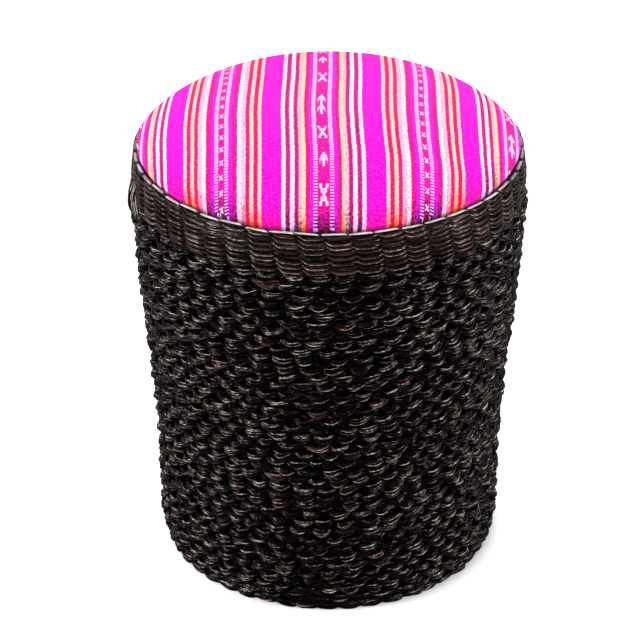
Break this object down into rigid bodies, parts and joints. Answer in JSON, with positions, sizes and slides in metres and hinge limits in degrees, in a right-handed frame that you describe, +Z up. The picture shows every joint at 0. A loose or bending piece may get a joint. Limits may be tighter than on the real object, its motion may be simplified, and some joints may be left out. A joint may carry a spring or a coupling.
{
  "type": "woven drum stool",
  "caption": "Round woven-fibre drum stool to sit on, with a plaited border and a domed, striped cushion, on a hidden cane frame.",
  "frame": {"origin": "on the floor, on the drum's axis: the middle of the underside", "axes": "+Z up along the drum's axis. The cover's stripes run along Y, from front (-Y) to back (+Y)"},
  "size_m": [0.3628, 0.3628, 0.459],
  "materials": {
    "weave": "satin",
    "border": "satin",
    "cane": "satin",
    "plywood": "matte",
    "foam": "matte",
    "cover": "matte",
    "steel": "satin"
  },
  "bodies": {
    "root": {"base_ring_nail_1": "steel", "base_ring_nail_2": "steel", "base_ring_nail_3": "steel", "base_ring_nail_4": "steel", "base_ring_nail_5": "steel", "base_ring_nail_6": "steel", "base_ring_nail_7": "steel", "base_ring_nail_8": "steel", "middle_ring_nail_1": "steel", "middle_ring_nail_2": "steel", "middle_ring_nail_3": "steel", "middle_ring_nail_4": "steel", "middle_ring_nail_5": "steel", "middle_ring_nail_6": "steel", "middle_ring_nail_7": "steel", "middle_ring_nail_8": "steel", "top_ring_nail_1": "steel", "top_ring_nail_2": "steel", "top_ring_nail_3": "steel", "top_ring_nail_4": "steel", "top_ring_nail_5": "steel", "top_ring_nail_6": "steel", "top_ring_nail_7": "steel", "top_ring_nail_8": "steel", "lower_brace_nail_1": "steel", "lower_brace_nail_2": "steel", "upper_brace_nail_1": "steel", "upper_brace_nail_2": "steel", "brace_crossing_nail": "steel", "seat_screw_1": "steel", "seat_screw_2": "steel", "seat_screw_3": "steel", "seat_screw_4": "steel", "base_ring": "cane", "middle_ring": "cane", "top_ring": "cane", "upright_1": "cane", "upright_2": "cane", "upright_3": "cane", "upright_4": "cane", "upright_5": "cane", "upright_6": "cane", "upright_7": "cane", "upright_8": "cane", "lower_brace": "cane", "upper_brace": "cane", "woven_wall": "weave", "plaited_border": "border", "cover_staple_1": "steel", "cover_staple_2": "steel", "cover_staple_3": "steel", "cover_staple_4": "steel", "cover_staple_5": "steel", "cover_staple_6": "steel", "cover_staple_7": "steel", "cover_staple_8": "steel", "seat_board": "plywood", "foam_pad": "foam", "seat_cover": "cover"}
  },
  "joints": []
}
